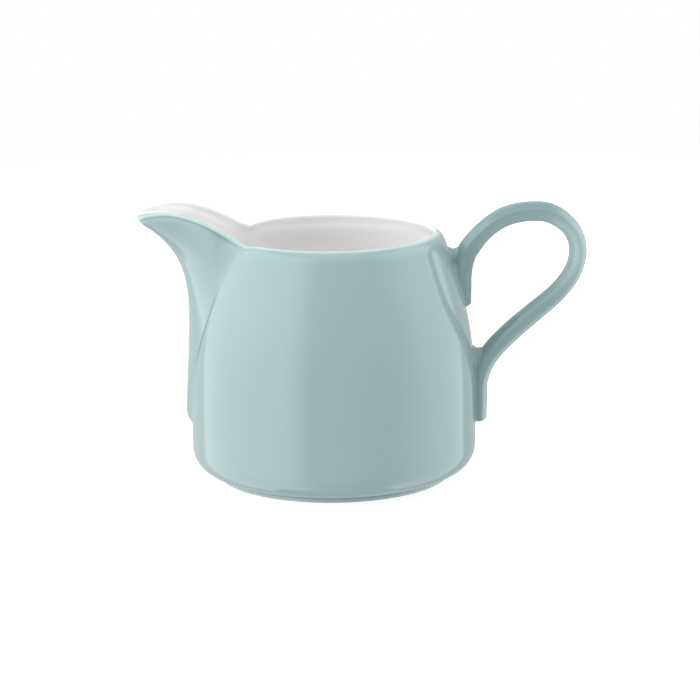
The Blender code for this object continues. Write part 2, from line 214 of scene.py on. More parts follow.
foot = {
    "width": 0.0036,
    "edge": 0.0006,
    "shadeAndGlazeDepth": -0.30,  # the glaze is thin here
    "wiped": (0.00022, 0.00030),  # the glaze ends between these heights above the table
    "wobble": 0.00016,  # and that line wanders this far
    "wobbleScale": 260,
    "porcelain": (0.72, 0.70, 0.66, 1),
    "porcelainRoughness": 0.6,
    "turns": 160,
}


def makeFootFinish():
    # aqua glaze down the sides, wiped away just above the table to leave bare porcelain
    made, tree, shader = newMaterial("foot glaze and bare porcelain")
    group = glazeNode(tree, glaze["aqua"], glaze["aquaThinAndLit"], glaze["aquaPooledAndShaded"])
    group.inputs["Depth"].default_value = foot["shadeAndGlazeDepth"]
    place = addNode(tree, "ShaderNodeTexCoord")
    split = addNode(tree, "ShaderNodeSeparateXYZ")
    ragged = addNode(tree, "ShaderNodeTexNoise")
    ragged.inputs["Scale"].default_value = foot["wobbleScale"]
    wobble = addNode(tree, "ShaderNodeMath", operation="MULTIPLY_ADD")
    wobble.inputs[1].default_value = -foot["wobble"]
    edge = addNode(tree, "ShaderNodeMapRange")
    edge.inputs["From Min"].default_value = foot["wiped"][0]
    edge.inputs["From Max"].default_value = foot["wiped"][1]
    bare = addNode(tree, "ShaderNodeMix", data_type="RGBA")
    bare.inputs[6].default_value = foot["porcelain"]
    dull = addNode(tree, "ShaderNodeMix")
    dull.inputs["A"].default_value = foot["porcelainRoughness"]
    link = tree.links.new
    link(place.outputs["Object"], split.inputs["Vector"])
    link(place.outputs["Object"], ragged.inputs["Vector"])
    link(ragged.outputs["Fac"], wobble.inputs[0])
    link(split.outputs["Z"], wobble.inputs[2])
    link(wobble.outputs[0], edge.inputs["Value"])
    link(edge.outputs["Result"], bare.inputs[0])
    link(edge.outputs["Result"], dull.inputs["Factor"])
    link(group.outputs["Colour"], bare.inputs[7])
    link(group.outputs["Roughness"], dull.inputs["B"])
    link(bare.outputs[2], shader.inputs["Base Color"])
    link(dull.outputs["Result"], shader.inputs["Roughness"])
    return made


footFinish = makeFootFinish()
print("materials made")


def finishPiece(name, bm, materials, slot, *nodes):
    # bm, about the body's axis, becomes a named piece that stands for its CAD nodes
    bmesh.ops.translate(bm, vec=(axisX, 0, 0), verts=bm.verts)
    mesh = bpy.data.meshes.new(name)
    bm.to_mesh(mesh)
    bm.free()
    for material in materials:
        mesh.materials.append(material)
    mesh.shade_smooth()
    piece = bpy.data.objects.new(name, mesh)
    bpy.context.scene.collection.objects.link(piece)
    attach(piece, "root")
    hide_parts(*nodes)
    print(name, "made,", len(mesh.polygons), "faces")
    return piece


# the jug shell: wall, beak and inside in one skin

jug = {
    "shoulder": (0.0340, 0.0697),  # radius and height where the wall starts to round over to the rim
    "shoulderLean": 0.32,
    "wallLean": 0.0219,  # how long the wall keeps the shoulder's lean
    "wallRise": 0.0298,  # and the belly's upright line
    "bellyTop": 0.0140,
    "bellyBottom": 0.0095,
    "baseDrop": 0.0046,
    "baseSweep": 0.0043,
    "wall": 0.0030,
    "floorHeight": 0.0054,
    "floorCorner": 0.0090,
    "innerEdge": 0.0717,  # height at which the inside starts to round over to the rim
    "rimOut": 0.0049,  # fullness of the rim's outer edge
    "rimIn": 0.0028,  # and of its inner edge
    "wallRows": 84,
    "rimRows": 36,
    "insideRows": 60,
    "whiteFrom": 0.56,  # share of the way over the rim at which the white glaze begins
    "columns": 256,
    "beakColumns": 46,  # on each side of the prow
    "crowding": 1.6,  # above 1 the columns crowd towards the creases
}

beak = {
    "toe": 0.0163,  # height of the tongue's end
    "toeOut": 0.0442,  # distance out of the front just above it
    "toeRound": 0.0042,
    "prow": 0.0428,  # distance out of the prow where it starts to flare
    "prowTop": 0.0500,
    "tip": (0.0552, 0.0756),  # where the tip starts to round over
    "tipLean": 32,  # degrees above level that the tip points
    "tipRise": 1.6,  # length along the tip for each metre of height over the shoulder
    "prowFlare": 0.42,  # how far the prow's upright line runs on up into the beak
    "tipSweep": 0.47,  # how far the tip's line runs back towards the prow
    "halfWidth": 0.0171,
    "toeHalfWidth": 0.0030,
    "leaf": (0.0103, 0.0600),  # heights between which the tongue widens
    "leafPower": 0.8,  # below 1 it widens sooner
    "arch": 0.0047,  # how far the beak's edges rise between wall and tip
    "archSkew": 1.4,
    "archSoft": 0.14,  # rounds the dip at the tip
    "valley": 0.0018,  # how far the edge dips where the beak's lip meets the rim
    "valleyAlong": (0.45, 0.85),
    "valleyEnd": 0.45,  # how much of it is left at the crease
    "valleyReach": 0.13,  # and how soon it is back at the rim's height, as a share of the way round
    "steepest": 88,  # degrees that a flank may turn from the prow's direction
    "leastCorner": 0.35,  # least half width of a row's nose, as a share of its half width
    "fullness": 0.92,  # 1 is bulging and 0 a straight wedge
    "lipFullness": 0.38,
    "lipShare": 0.80,
    "waistFullness": 0.75,  # under the lip the beak's sides run straighter to a rounded nose
    "noseShare": 0.32,  # of its half width
    "waistFrom": (0.030, 0.050),
    "waistTo": 0.061,
    "lip": 0.0022,  # thickness at the tip
    "tipRound": 0.0023,
    "troughStart": 0.045,
    "troughFull": 0.056,
    "crease": 0.0005,  # size of the fillet in the crease
    "creaseLow": 0.0030,  # down the tongue
    "creaseSharp": (0.030, 0.046),  # heights between which it sharpens
    "creaseTop": 0.0034,  # and at the rim
    "creaseFrom": 0.056,
    "creaseLine": 0.0005,  # width of the painted shade line in the crease
    # how dark the painted shade line along the crease is
    "creaseShade": 1.0,
    # painted shade on the beak's flank under its lip
    "flankShade": 0.42,
    "tipShade": 0.85,  # painted shade on the white glaze in the tip
    "rimShade": 0.48,  # and along the rim
    "rimShadeDepth": 0.0020,  # down to this far below the inner edge
    "lipShade": 0.55,  # painted shade in a line under the lip
    "lipShadeAt": 0.30,  # as a share of the way over the lip
    "lipShadeWidth": 0.045,
    "edgeThinAndHighlight": 0.5,  # how far the aqua glaze thins and lightens on the edge itself, partly a painted highlight
}

shoulder = Vector(jug["shoulder"])


def leanBack(point, rise):
    return Vector((point.x - jug["shoulderLean"] * rise, point.y + rise))


bellyFoot = Vector((bellyRadius, jug["bellyTop"]))
wallLine = curve(bellyFoot, bellyFoot + Vector((0, jug["wallRise"])), leanBack(shoulder, -jug["wallLean"]),
                 shoulder, 60)
baseLine = curve((footRadius, footTop), (footRadius + jug["baseSweep"], footTop + 0.1 * jug["baseDrop"]),
                 (bellyRadius, jug["bellyBottom"] - jug["baseDrop"]), (bellyRadius, jug["bellyBottom"]), 14)
outerLine = [*baseLine, *wallLine, leanBack(shoulder, 0.006)]
innerBelly = bellyRadius - jug["wall"]
innerFoot = Vector((innerBelly, jug["floorHeight"] + jug["floorCorner"]))
innerShoulder = shoulder - Vector((jug["wall"], 0)) * 1.05
innerLine = curve(innerFoot, innerFoot + Vector((0, jug["wallRise"])),
                  leanBack(innerShoulder, -jug["wallLean"]),
                  innerShoulder, 60) + [leanBack(innerShoulder, 0.006)]

# the prow seen from the side, as distance out and level; a level is the height where its row meets the wall
prowTop = Vector((beak["prow"], beak["prowTop"]))
tip = Vector(beak["tip"])
tipLine = Vector((math.cos(math.radians(beak["tipLean"])), math.sin(math.radians(beak["tipLean"]))))


def prowPoint(level):
    # distance out and height of the front edge on the row of this level
    stretch = (level - beak["prowTop"]) / (shoulder.y - beak["prowTop"])
    if stretch > 1:
        return tip + tipLine * (level - shoulder.y) * beak["tipRise"]
    if stretch > 0:
        rise = tip.y - prowTop.y
        return cubic(prowTop, prowTop + Vector((0, beak["prowFlare"] * rise)),
                     tip - tipLine * beak["tipSweep"] * rise, tip, stretch)
    return Vector((mix(beak["toeOut"], beak["prow"], smooth(beak["toe"], beak["prowTop"], level)), level))


def creaseHalf(level):
    # half the beak's width where it meets the wall
    share = smooth(*beak["leaf"], level)
    return mix(beak["toeHalfWidth"], beak["halfWidth"], share ** beak["leafPower"])


def toeFade(level):
    # the tongue comes out of the belly over its rounded end
    share = min(1.0, max(0.0, (level - beak["toe"]) / beak["toeRound"]))
    return math.sqrt(1 - (1 - share) ** 2)


def rowShape(level, isInside):
    # everything about one row of the shell
    radius = reading(innerLine if isInside else outerLine, level)
    front = prowPoint(level)
    lift = min(1.0, max(0.0, (level - beak["prowTop"]) / (shoulder.y - beak["prowTop"])))
    half = creaseHalf(level)
    fade = toeFade(level)
    if isInside:
        step = 0.0005
        along = (prowPoint(level + step) - prowPoint(level - step)).normalized()
        thick = mix(jug["wall"], beak["lip"], lift)
        front = front + Vector((-along.y, along.x)) * thick
        half = half - thick
        fade = smooth(beak["troughStart"], beak["troughFull"], level)
    root = math.sqrt(radius**2 - half**2)
    front = Vector((mix(radius, front.x, fade), mix(level, front.y, fade)))
    depth = max(front.x - root, 0.00001)
    turnIn = min(2 * math.atan2(depth, half), math.radians(beak["steepest"]))
    corner = max(half - depth / math.tan(turnIn), beak["leastCorner"] * half)
    corner = mix(corner, min(corner, beak["lipShare"] * half), lift)
    waist = smooth(*beak["waistFrom"], level) * (1 - smooth(beak["waistTo"], shoulder.y, level))
    full = mix(beak["fullness"], beak["lipFullness"], lift**1.5)
    return {
        "radius": radius,
        "front": front,
        "level": level,
        "half": half,
        "root": root,
        "corner": mix(corner, beak["noseShare"] * half, waist),
        "depth": depth,
        "fullness": mix(full, beak["waistFullness"], waist),
        "arch": beak["arch"] * lift**3,
        "valley": beak["valley"] * lift**3,
        "crease": mix(mix(beak["creaseLow"], beak["crease"], smooth(*beak["creaseSharp"], level)),
                      beak["creaseTop"], smooth(beak["creaseFrom"], shoulder.y, level)),
        "creaseAngle": math.asin(half / radius),
    }


def outlinePoint(row, side):
    # side runs from 0 at the prow to 1 at the crease, then to 2 at the back of the jug
    if side > 1:
        turn = mix(row["creaseAngle"], math.pi, side - 1)
        dip = row["valley"] * beak["valleyEnd"] * (1 - smooth(0, beak["valleyReach"], side - 1))
        return Vector((row["radius"] * math.cos(turn), row["radius"] * math.sin(turn), row["level"] - dip))
    nearFront = (1 - side) ** 2
    nearCorner = 2 * side * (1 - side) * row["fullness"]
    nearRoot = side * side
    total = nearFront + nearCorner + nearRoot
    across = (nearFront + nearCorner) / total
    out = mix(row["root"], row["front"].x, across)
    width = (nearCorner * row["corner"] + nearRoot * row["half"]) / total
    height = mix(row["level"], row["front"].y, across)
    soft = beak["archSoft"]
    valley = smooth(*beak["valleyAlong"], side) * mix(1, beak["valleyEnd"], smooth(0.8, 1, side))
    along = (side * side + soft * soft) ** (beak["archSkew"] / 2) - soft ** beak["archSkew"]
    height += row["arch"] * math.sin(math.pi * along) - row["valley"] * valley
    return Vector((out, width, height))


def shellPoint(row, side):
    # a point of the row, with the crease filled by a soft fillet
    speed = 2 * row["fullness"] * math.hypot(row["depth"], row["half"] - row["corner"])
    reach = row["radius"] * (math.pi - row["creaseAngle"])
    away = (side - 1) * (speed if side < 1 else reach)
    size = min(row["crease"], 0.6 * speed)
    if abs(away) >= size:
        return outlinePoint(row, side)
    share = 0.5 * (away / size + 1)
    before = outlinePoint(row, 1 - size / speed)
    after = outlinePoint(row, 1 + size / reach)
    return before * (1 - share) ** 2 + outlinePoint(row, 1) * 2 * share * (1 - share) + after * share**2


def capPoint(side, share):
    # over the rim or the lip, from the outer shoulder to the inner one
    outer = shellPoint(rows["outer"], side)
    inner = shellPoint(rows["inner"], side)
    upOuter = (outer - shellPoint(rows["outerBelow"], side)).normalized()
    upInner = (inner - shellPoint(rows["innerBelow"], side)).normalized()
    atBeak = 1 - smooth(0.0, 1.0, side)
    full = mix(jug["rimOut"], beak["tipRound"], atBeak)
    slim = mix(jug["rimIn"], beak["tipRound"] * 0.8, atBeak)
    return cubic(outer, outer + upOuter * full, inner + upInner * slim, inner, share)


below = 0.0004  # step down to the rows that give the cap its direction
rows = {
    "outer": rowShape(shoulder.y, False),
    "outerBelow": rowShape(shoulder.y - below, False),
    "inner": rowShape(jug["innerEdge"], True),
    "innerBelow": rowShape(jug["innerEdge"] - below, True),
}


def insideShade(side, level):
    # painted shade on the white glaze in the beak's tip and along the rim
    inTip = beak["tipShade"] * (1 - smooth(0.2, 0.75, side))
    onEdge = mix(beak["tipShade"], beak["rimShade"], smooth(0.55, 0.85, side))
    onEdge *= smooth(jug["innerEdge"] - beak["rimShadeDepth"], jug["innerEdge"], level)
    return max(inTip, onEdge)


def shadeAt(row, side, lift):
    # above 0 darker and below it lighter: painted shade in a line along the crease and on the beak's flank
    # under its lip
    speed = 2 * row["fullness"] * math.hypot(row["depth"], row["half"] - row["corner"])
    away = (side - 1) * (speed if side < 1 else row["radius"] * (math.pi - row["creaseAngle"]))
    there = smooth(*beak["creaseSharp"], row["level"])
    there *= 1 - smooth(beak["creaseFrom"] - 0.003, beak["creaseFrom"] + 0.006, row["level"])
    creaseLineShade = beak["creaseShade"] * math.exp(-((away / beak["creaseLine"]) ** 2)) * there
    shadedFlank = beak["flankShade"] * lift * (1 - smooth(0.30, 0.85, side))
    return creaseLineShade + shadedFlank


def shadingOverRim(over, side):
    # painted shading over the rim and the lip, from 0 at the outer shoulder to 1 at the inner one: the
    # flank's painted shade, a painted shade line under the lip, lighter thin glaze with a painted highlight
    # on the edge, and painted shade on the white
    white = smooth(jug["whiteFrom"] - 0.02, jug["whiteFrom"] + 0.02, over)
    # lighter where the aqua glaze thins near the edge, partly a painted highlight
    thinAndLit = mix(smooth(0.30, 0.42, over), smooth(0.32, 0.46, over), smooth(0.9, 1.1, side)) * (1 - white)
    flankShadeOnCap = shadeAt(rows["outer"], side, 1.0) * (1 - smooth(0.0, 0.3, over))
    # a painted shade line under the lip
    line = beak["lipShade"] * math.exp(-(((over - beak["lipShadeAt"]) / beak["lipShadeWidth"]) ** 2))
    line *= 1 - smooth(0.85, 1.12, side)
    return flankShadeOnCap + line - beak["edgeThinAndHighlight"] * thinAndLit + insideShade(side, jug["innerEdge"]) * white


# stretches of the turned profile, from the underside over the rim to the middle of the floor inside
underside, outside, overRim, inside, floorInside = range(5)


def makeShell():
    # a turned pot is drawn first, and then the beak is pulled out of its front
    bm = bmesh.new()
    levelLayer = bm.verts.layers.float.new("level")
    zoneLayer = bm.verts.layers.int.new("zone")
    shadeAndDepthLayer = bm.verts.layers.float.new("shadeAndGlazeDepth")
    profile = []

    def station(radius, height, zone, level):
        vert = bm.verts.new((-radius, 0, height))
        vert[zoneLayer] = zone
        vert[levelLayer] = level
        profile.append(vert)

    for share in (0, 0.4, 0.8, 0.98):
        station(footRadius * share, footTop, underside, 0)
    for point in baseLine:
        station(point.x, point.y, underside, 0)
    for i in range(1, jug["wallRows"] + 1):
        level = mix(jug["bellyBottom"], shoulder.y, i / jug["wallRows"])
        station(reading(outerLine, level), level, outside, level)
    for i in range(1, jug["rimRows"]):
        station(shoulder.x - 0.00005 * i, shoulder.y + 0.00005 * i, overRim, i / jug["rimRows"])
    for i in range(jug["insideRows"], -1, -1):
        level = mix(innerFoot.y, jug["innerEdge"], i / jug["insideRows"])
        station(reading(innerLine, level), level, inside, level)
    corner = curve(innerFoot, innerFoot - Vector((0, 0.55 * jug["floorCorner"])),
                   (innerBelly - 0.45 * jug["floorCorner"], jug["floorHeight"]),
                   (innerBelly - jug["floorCorner"], jug["floorHeight"]), 8)
    for point in corner[1:]:
        station(point.x, point.y, floorInside, 0)
    for share in (0.8, 0.5, 0.2, 0):
        station((innerBelly - jug["floorCorner"]) * share, jug["floorHeight"], floorInside, 0)
    edges = [bm.edges.new(pair) for pair in zip(profile, profile[1:])]
    bmesh.ops.spin(bm, geom=[*profile, *edges], cent=(0, 0, 0), axis=(0, 0, 1), angle=math.tau,
                   steps=jug["columns"], use_merge=True)
    bmesh.ops.remove_doubles(bm, verts=bm.verts, dist=0.000001)
    bmesh.ops.recalc_face_normals(bm, faces=bm.faces)

    known = {}

    def rowOf(level, isInside):
        key = (round(level, 7), isInside)
        if key not in known:
            known[key] = rowShape(level, isInside)
        return known[key]

    creaseTurn = math.tau * jug["beakColumns"] / jug["columns"]
    for vert in bm.verts:
        zone = vert[zoneLayer]
        turn = math.atan2(vert.co.y, -vert.co.x)
        isFlat = zone in (underside, floorInside)
        if isFlat and vert.co.xy.length < 0.0001:
            continue
        share = abs(turn)
        if share <= creaseTurn:
            side = 1 - (1 - share / creaseTurn) ** jug["crowding"]
        else:
            side = 1 + ((share - creaseTurn) / (math.pi - creaseTurn)) ** jug["crowding"]
        if isFlat:
            at = outlinePoint(rowOf(jug["bellyBottom"], False), side)
            at = Vector((at.x, at.y, 0)).normalized() * vert.co.xy.length
            at.z = vert.co.z
        elif zone == overRim:
            at = capPoint(side, vert[levelLayer])
            # painted shading over the rim and the lip
            vert[shadeAndDepthLayer] = shadingOverRim(vert[levelLayer], side)
        else:
            row = rowOf(vert[levelLayer], zone == inside)
            at = shellPoint(row, side)
            # painted shade in the crease and on the beak's flank outside, and on the white inside
            if zone == outside:
                vert[shadeAndDepthLayer] = shadeAt(row, side, smooth(0.060, shoulder.y, row["level"]))
            else:
                vert[shadeAndDepthLayer] = insideShade(side, row["level"])
        vert.co = (-at.x, math.copysign(at.y, turn), at.z)

    def isWhite(vert):
        if vert[zoneLayer] == overRim:
            return vert[levelLayer] > jug["whiteFrom"]
        return vert[zoneLayer] > overRim

    for face in bm.faces:
        face.material_index = 1 if len([v for v in face.verts if isWhite(v)]) >= 3 else 0
    return finishPiece("jug_shell", bm, [aquaGlaze, whiteGlaze], "aqua_glaze",
                       "jug_body", "spout", "left_spout_seam", "right_spout_seam")


jugShell = makeShell()


def makeFoot():
    bm = bmesh.new()
    inner = footRadius - foot["width"]
    corners = [(inner, footTop), (inner, 0), (footRadius, 0), (footRadius, footTop)]
    profile = [bm.verts.new((x, 0, z)) for x, z in corners]
    edges = [bm.edges.new(pair) for pair in zip(profile, profile[1:] + profile[:1])]
    bmesh.ops.spin(bm, geom=[*profile, *edges], cent=(0, 0, 0), axis=(0, 0, 1), angle=math.tau,
                   steps=foot["turns"], use_merge=True)
    bmesh.ops.remove_doubles(bm, verts=bm.verts, dist=0.000001)
    bmesh.ops.recalc_face_normals(bm, faces=bm.faces)
    rims = [e for e in bm.edges if all(v.co.z < 0.0001 for v in e.verts)
            and abs(e.verts[0].co.xy.length - e.verts[1].co.xy.length) < 0.0001]
    bmesh.ops.bevel(bm, geom=rims, offset=foot["edge"], affect="EDGES", segments=4, profile=0.5,
                    material=-1)
    return finishPiece("foot_rim", bm, [footFinish], "bare_porcelain", "foot_ring")


footRim = makeFoot()


handle = {
    # distance out from the body's axis, height and thickness, from the upper tongue's end to the lower's
    "line": [
        (0.0388, 0.0520, 0.0051), (0.0387, 0.0560, 0.0054), (0.0387, 0.0605, 0.0056),
        (0.0393, 0.0648, 0.0060), (0.0407, 0.0681, 0.0062), (0.0452, 0.0734, 0.0057),
        (0.0512, 0.0774, 0.0058), (0.0586, 0.0789, 0.0058), (0.0652, 0.0780, 0.0058),
        (0.0708, 0.0735, 0.0054), (0.0728, 0.0672, 0.0053), (0.0712, 0.0606, 0.0053),
        (0.0667, 0.0545, 0.0055), (0.0598, 0.0485, 0.0058), (0.0534, 0.0430, 0.0060),
        (0.0480, 0.0375, 0.0060), (0.0451, 0.0328, 0.0056), (0.0436, 0.0280, 0.0054),
        (0.0434, 0.0235, 0.0053), (0.0433, 0.0169, 0.0052),
    ],
    "width": 0.0082,
    "faces": 2.7,  # above 2 the section's faces in and out flatten
    "ridge": 1.55,  # and below 2 its sides come to a soft ridge
    "ridgeOut": 0.30,  # how far the ridge sits towards the outer face
    "nose": 0.0014,  # length of the rounded ends
    "noseSteps": 7,
    "rootShade": 0.62,  # painted shade on the inner half towards the roots
    "rootShadeUpper": (0.14, 0.36),  # as shares of the handle's length
    "rootShadeLower": (0.52, 0.66),
    "rootShadeEnd": (0.74, 0.84),  # beyond which the painted shade fades again down the lower tongue
    "archTopShade": 0.62,  # painted shade on the arch's outer face
    "topFrom": (0.14, 0.26),
    "topTo": (0.40, 0.50),
    "thinAndLit": 0.22,  # painted light, lighter round the far bend
    "thinAndLitFrom": (0.40, 0.47),
    "thinAndLitTo": (0.53, 0.62),
    # painted shade on the slip in the crotches where the tongues meet the wall
    "slipShade": 0.25,
    "sides": 56,
    "steps": 8,  # between two points of the line
}


def throughPoints(points, steps):
    # a smooth run through the points
    padded = [points[0] * 2 - points[1], *points, points[-1] * 2 - points[-2]]
    run = []
    for a, b, c, d in zip(padded, padded[1:], padded[2:], padded[3:]):
        for i in range(steps):
            run.append(cubic(b, b + (c - a) / 6, c - (d - b) / 6, c, i / steps))
    return [*run, points[-1]]


def sweepRings(bm, rings, closed, ringShading=None):
    # the first ring is drawn and each of the others is extruded from the one before
    shadeAndDepthLayer = bm.verts.layers.float.new("shadeAndGlazeDepth")
    ring = [bm.verts.new(at) for at in rings[0]]
    edges = [bm.edges.new(pair) for pair in zip(ring, ring[1:] + ring[:1])]
    if not closed:
        bm.faces.new(ring)
    for step, places in enumerate(rings[1:]):
        made = bmesh.ops.extrude_edge_only(bm, edges=edges)["geom"]
        fresh = {tuple(v.co): v for v in made if isinstance(v, bmesh.types.BMVert)}
        ring = [fresh[tuple(v.co)] for v in ring]
        for i, vert in enumerate(ring):
            vert.co = places[i]
            # each ring takes its given painted shading, or else the slip's painted shade
            vert[shadeAndDepthLayer] = ringShading[step + 1][i] if ringShading else handle["slipShade"]
        edges = [e for e in made if isinstance(e, bmesh.types.BMEdge) and set(e.verts) <= set(ring)]
    if not closed:
        bm.faces.new(ring)
    bmesh.ops.remove_doubles(bm, verts=bm.verts, dist=0.0000005)
    bmesh.ops.recalc_face_normals(bm, faces=bm.faces)


def handleSection(thickness, width):
    # points round an oval with a soft ridge down each side, as thickness and width
    points = []
    for i in range(handle["sides"]):
        turn = math.tau * (i + 0.5) / handle["sides"]
        across, along = math.cos(turn), math.sin(turn)
        out = math.copysign(abs(across) ** (2 / handle["ridge"]), across)
        wide = math.copysign(abs(along) ** (2 / handle["faces"]), along)
        out += handle["ridgeOut"] * (1 - abs(out)) * wide**2
        points.append((0.5 * thickness * out, 0.5 * width * wide))
    return points


def makeHandle():
    line = throughPoints([Vector(p) for p in handle["line"]], handle["steps"])
    stations = []
    for i, (out, height, thick) in enumerate(line):
        before, after = line[max(0, i - 1)], line[min(len(line) - 1, i + 1)]
        along = Vector((after.x - before.x, 0, after.y - before.y)).normalized()
        stations.append((Vector((out, 0, height)), along, thick, 1.0))

    def nose(station, direction):
        # rounded end beyond a station
        at, along, thick, size = station
        ends = []
        for i in range(1, handle["noseSteps"] + 1):
            turn = math.radians(87.5 * i / handle["noseSteps"])
            shrink = math.cos(turn) if i < handle["noseSteps"] else 0.05
            ends.append((at + along * direction * handle["nose"] * math.sin(turn), along, thick, shrink))
        return ends

    stations = [*reversed(nose(stations[0], -1)), *stations, *nose(stations[-1], 1)]
    rings = []
    ringShading = []
    for count, (at, along, thick, size) in enumerate(stations):
        share = count / (len(stations) - 1)
        # painted shade on the inner half towards the roots and on the arch's top, painted light round the
        # far bend
        near = max(1 - smooth(*handle["rootShadeUpper"], share), smooth(*handle["rootShadeLower"], share))
        near *= 1 - 0.75 * smooth(*handle["rootShadeEnd"], share)
        top = handle["archTopShade"] * smooth(*handle["topFrom"], share) * (1 - smooth(*handle["topTo"], share))
        thinAndLit = handle["thinAndLit"] * smooth(*handle["thinAndLitFrom"], share) * (1 - smooth(*handle["thinAndLitTo"], share))
        section = handleSection(thick, handle["width"])
        ringShading.append([handle["rootShade"] * near * smooth(0.5, -0.5, a / thick) - thinAndLit
                       + top * smooth(-0.1, 0.4, a / thick) for a, b in section])
        up = Vector((-along.z, 0, along.x))
        trim = 0.8 * thick * (1 - size)
        slim, narrow = 1 - trim / thick, 1 - trim / handle["width"]
        rings.append([at + up * (a * slim) + Vector((0, b * narrow, 0)) for a, b in section])
    bm = bmesh.new()
    sweepRings(bm, rings, False, ringShading)
    return finishPiece("strap_handle", bm, [aquaGlaze], "aqua_glaze", "handle")


strapHandle = makeHandle()


# slip where the handle's tongues meet the wall

joints = {
    "upper": {"node": "upper_handle_joint", "low": 0.0548, "high": 0.0640},
    "lower": {"node": "lower_handle_joint", "low": 0.0190, "high": 0.0320},
    "crotch": 0.0016,  # radius of the slip in the crotch above a tongue
    "side": 0.0006,  # and beside and under it
    "turnSteps": 12,
    "slideSteps": 14,
    "arcSteps": 10,
}


def surfaceOf(piece):
    mesh = piece.data
    return BVHTree.FromPolygons([v.co for v in mesh.vertices], [p.vertices for p in mesh.polygons])


def restingBall(wall, strap, origin, direction, radius):
    # centre of a ball that lies in the crease between two surfaces, in the plane of +X and a direction
    out = Vector((1, 0, 0))
    start = wall.ray_cast(origin + direction * 0.006 + out * 0.1, -out)[0]
    centre = start + out * radius * 1.5
    for turn in range(60):
        found = []
        for surface in (wall, strap):
            point, normal, index, gap = surface.find_nearest(centre)
            way = (centre - point).normalized()
            if way.dot(normal) < 0:
                way = -way
                gap = -gap
            found.append((way.dot(out), way.dot(direction), gap - radius, point))
        (a, b, e, wallPoint), (c, d, g, strapPoint) = found
        det = a * d - b * c
        if abs(det) < 0.02:
            det = math.copysign(0.02, det)
        centre = centre - (out * (d * e - b * g) / det + direction * (a * g - c * e) / det) * 0.6
        if max(abs(e), abs(g)) < 0.000002:
            break
    return centre, wallPoint, strapPoint


def makeJoint(name, plan):
    wall, strap = surfaceOf(jugShell), surfaceOf(strapHandle)
    planes = []
    turns, slides = joints["turnSteps"], joints["slideSteps"]
    for i in range(turns):
        planes.append((plan["high"], math.pi / 2 + math.pi / 2 * i / turns))
    for i in range(slides):
        planes.append((mix(plan["high"], plan["low"], i / slides), math.pi))
    for i in range(2 * turns):
        planes.append((plan["low"], math.pi + math.pi * i / (2 * turns)))
    for i in range(slides):
        planes.append((mix(plan["low"], plan["high"], i / slides), math.tau))
    for i in range(turns + 1):
        planes.append((plan["high"], math.tau + math.pi / 2 * i / turns))
    rings = []
    for height, angle in planes:
        direction = Vector((0, math.cos(angle), math.sin(angle)))
        radius = mix(joints["side"], joints["crotch"], smooth(0.0, 1.0, math.sin(angle)))
        origin = Vector((axisX, 0, height))
        centre, wallPoint, strapPoint = restingBall(wall, strap, origin, direction, radius)
        first, last = wallPoint - centre, strapPoint - centre
        ring = [centre + first.normalized().slerp(last.normalized(), i / joints["arcSteps"]) * radius
                for i in range(joints["arcSteps"] + 1)]
        ring.append(wallPoint + strapPoint - centre)
        rings.append([at - Vector((axisX, 0, 0)) for at in ring])
    bm = bmesh.new()
    sweepRings(bm, rings, True)
    piece = finishPiece(name, bm, [aquaGlaze], "aqua_glaze", plan["node"])
    piece.data.set_sharp_from_angle(angle=math.radians(60))
    return piece


upperJoint = makeJoint("upper_slip", joints["upper"])
lowerJoint = makeJoint("lower_slip", joints["lower"])


# stage, lights and camera

studio = {
    "wrapRadius": 0.95,
    "wrapLevels": (-2.0, -0.9, -0.35, 1.2),  # the screen shows in the glaze below the table as well
    "wrapFade": 0.9,  # but dimmer low down
    "left": {"full": -42, "dark": -12, "strength": 1.92},
    "right": {"dark": 38, "full": 88, "strength": 1.72},
    "front": 0.12,
    "back": 0.74,
    "backTilt": 0.14,  # brighter on the left than on the right
    "backFrom": (122, 131),
    "top": {"size": 0.9, "height": 1.2, "forward": 0.15, "watts": 14.0},
    "low": {"width": 0.3, "tall": 0.05, "distance": 0.85, "height": 0.135, "watts": 1.5},
    "floor": 0.62,
    "floorTone": 0.94,
    "floorBounce": 0.45,  # the floor gives back less to the jug than the camera sees
    "floorGlow": 0.60,  # a light table
    "floorFill": 0.58,  # and what of its light reaches the jug
    "world": 0.28,
    "backdrop": 1.0,
}


def makeStage():
    bm = bmesh.new()
    bmesh.ops.create_circle(bm, cap_ends=True, radius=studio["floor"], segments=96)
    mesh = bpy.data.meshes.new("studio floor")
    bm.to_mesh(mesh)
    bm.free()
    floor = bpy.data.objects.new("studio floor", mesh)
    bpy.context.scene.collection.objects.link(floor)
    made, tree, shader = newMaterial("studio floor")
    shader.inputs["Roughness"].default_value = 0.9
    shader.inputs["Specular IOR Level"].default_value = 0.0
    ray = addNode(tree, "ShaderNodeLightPath")
    tone = addNode(tree, "ShaderNodeMapRange")
    tone.inputs["To Min"].default_value = studio["floorBounce"]
    tone.inputs["To Max"].default_value = studio["floorTone"]
    tree.links.new(ray.outputs["Is Camera Ray"], tone.inputs["Value"])
    tree.links.new(tone.outputs["Result"], shader.inputs["Base Color"])
    glow = addNode(tree, "ShaderNodeMapRange")
    glow.inputs["To Min"].default_value = studio["floorFill"]
    glow.inputs["To Max"].default_value = studio["floorGlow"]
    tree.links.new(ray.outputs["Is Camera Ray"], glow.inputs["Value"])
    tree.links.new(glow.outputs["Result"], shader.inputs["Emission Strength"])
    shader.inputs["Emission Color"].default_value = (1, 1, 1, 1)
    mesh.materials.append(made)
    floor.visible_glossy = False


makeStage()


